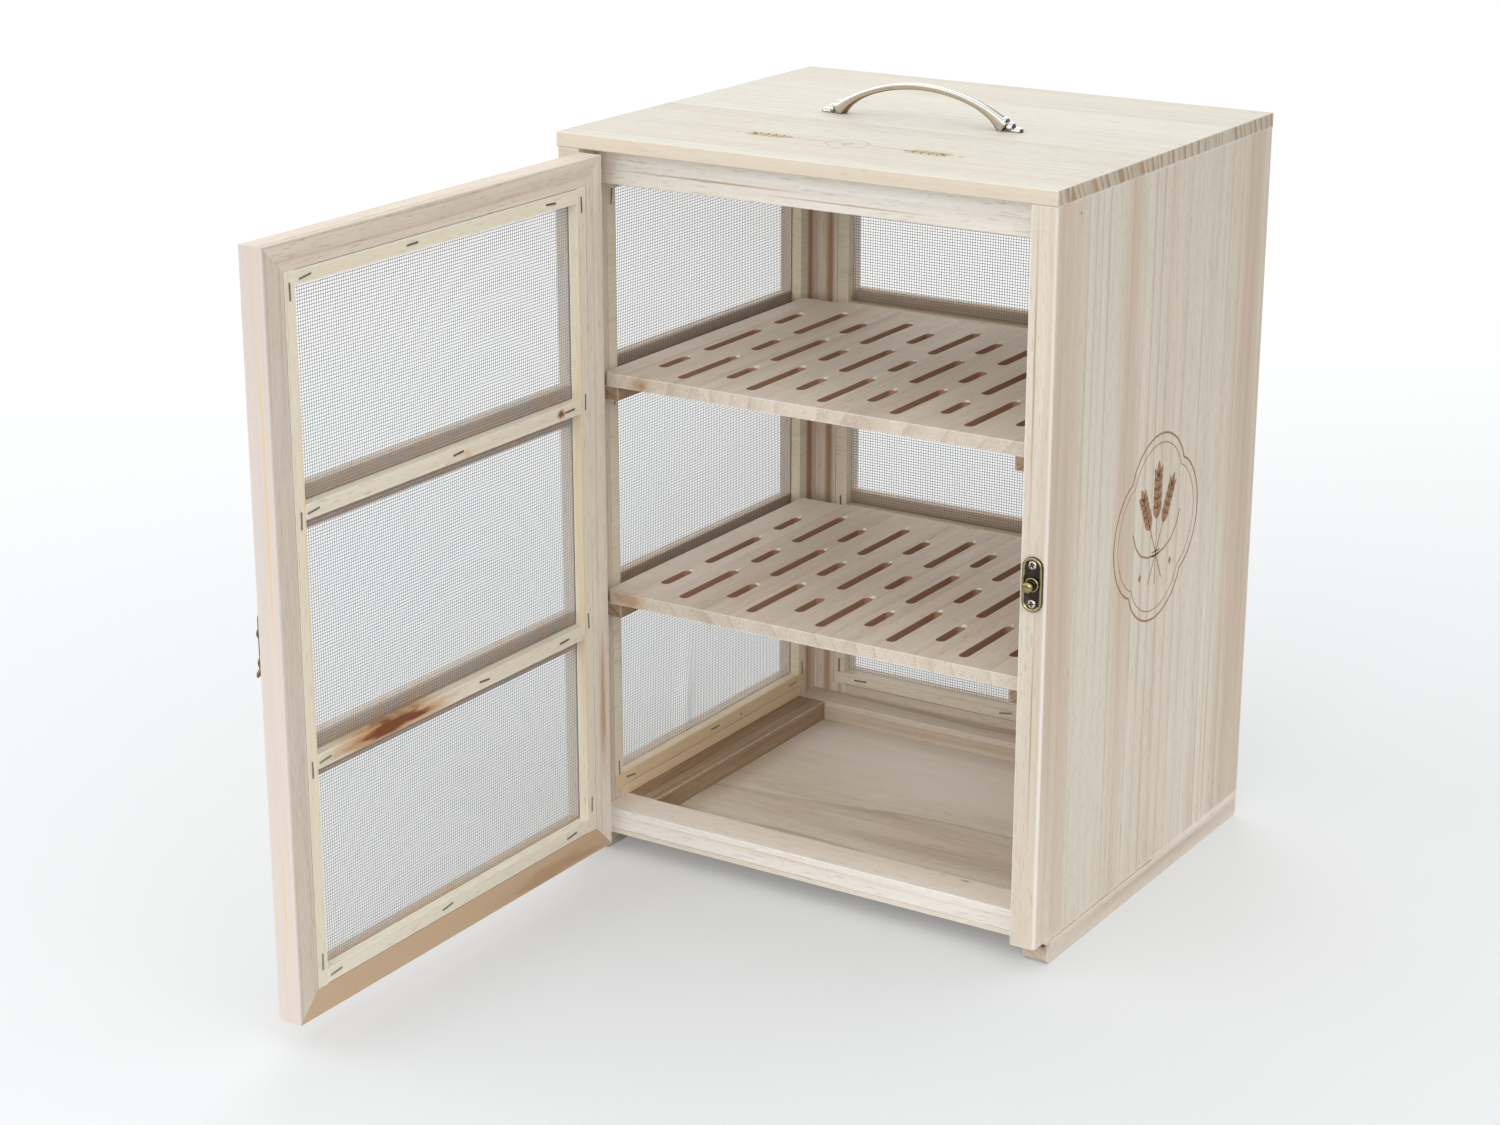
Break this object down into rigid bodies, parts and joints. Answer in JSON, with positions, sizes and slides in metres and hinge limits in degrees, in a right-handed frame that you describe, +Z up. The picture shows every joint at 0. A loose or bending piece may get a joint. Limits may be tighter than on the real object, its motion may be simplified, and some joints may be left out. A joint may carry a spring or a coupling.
{
  "type": "pie safe",
  "caption": "Table-top pie safe: pale wooden case with a solid right side, wire mesh in its left side, back and hinged door, slotted shelves, a bow handle on top and a hook latch.",
  "frame": {"origin": "middle of the footprint of the whole part as it stands with its door open, on the surface that it rests on", "axes": "+Z up; the front faces -Y; +X to the right as seen from the front"},
  "size_m": [0.356, 0.6324, 0.5223],
  "materials": {
    "top_wood": "bare, sanded",
    "side_wood": "bare, sanded",
    "pale_wood": "bare, sanded",
    "bead_wood": "bare, sanded",
    "shelf_wood": "bare, sanded",
    "plywood": "bare, sanded",
    "wire": "galvanised",
    "nickel": "polished nickel",
    "aged_brass": "antique, dark"
  },
  "bodies": {
    "case": {"top_panel": "top_wood", "side_panel": "side_wood", "top_rail": "pale_wood", "bottom_rail": "pale_wood", "base_bar_left": "pale_wood", "base_bar_right": "pale_wood", "base_bar_back": "pale_wood", "runner_left": "pale_wood", "runner_right": "pale_wood", "left_stile_front": "pale_wood", "left_stile_back": "pale_wood", "left_rail_bottom": "pale_wood", "left_rail_top": "pale_wood", "left_muntin_lower": "pale_wood", "left_muntin_upper": "pale_wood", "back_stile_left": "pale_wood", "back_stile_right": "pale_wood", "back_rail_bottom": "pale_wood", "back_rail_top": "pale_wood", "back_muntin_lower": "pale_wood", "back_muntin_upper": "pale_wood", "cleat_lower_left": "pale_wood", "cleat_lower_right": "pale_wood", "cleat_upper_left": "pale_wood", "cleat_upper_right": "pale_wood", "left_beads": "bead_wood", "back_beads": "bead_wood", "floor_panel": "plywood", "left_mesh": "wire", "back_mesh": "wire", "handle": "nickel", "hinge_lower_case_leaf": "aged_brass", "hinge_lower_pin": "aged_brass", "hinge_upper_case_leaf": "aged_brass", "hinge_upper_pin": "aged_brass", "latch_strike_plate": "aged_brass", "latch_stud": "aged_brass"},
    "door": {"door_stile_latch": "pale_wood", "door_stile_hinge": "pale_wood", "door_rail_bottom": "pale_wood", "door_rail_top": "pale_wood", "door_muntin_lower": "pale_wood", "door_muntin_upper": "pale_wood", "door_bead_latch": "bead_wood", "door_bead_hinge": "bead_wood", "door_bead_bottom": "bead_wood", "door_bead_top": "bead_wood", "door_bead_lower": "bead_wood", "door_bead_upper": "bead_wood", "door_mesh": "wire", "hinge_lower_door_leaf": "aged_brass", "hinge_upper_door_leaf": "aged_brass", "latch_hook_plate": "aged_brass", "latch_pivot": "aged_brass"},
    "hook": {"latch_hook": "aged_brass"},
    "shelf_lower": {"shelf_lower": "shelf_wood"},
    "shelf_upper": {"shelf_upper": "shelf_wood"}
  },
  "joints": [
    {"name": "door_hinge", "type": "hinge", "parent": "case", "child": "door", "pos_m": [-0.1606, 0.00465, 0.252], "axis": [0, 0, -1], "range_deg": [-90, 90]},
    {"name": "hook_pivot", "type": "hinge", "parent": "door", "child": "hook", "pos_m": [-0.1624, -0.30825, 0.258], "axis": [-1, 0, 0], "range_deg": [-270, 0]},
    {"name": "lower_shelf_slide", "type": "slide", "parent": "case", "child": "shelf_lower", "axis": [0, 1, 0], "range_m": [0, 0.0265]},
    {"name": "upper_shelf_slide", "type": "slide", "parent": "case", "child": "shelf_upper", "axis": [0, 1, 0], "range_m": [0, 0.0265]}
  ]
}
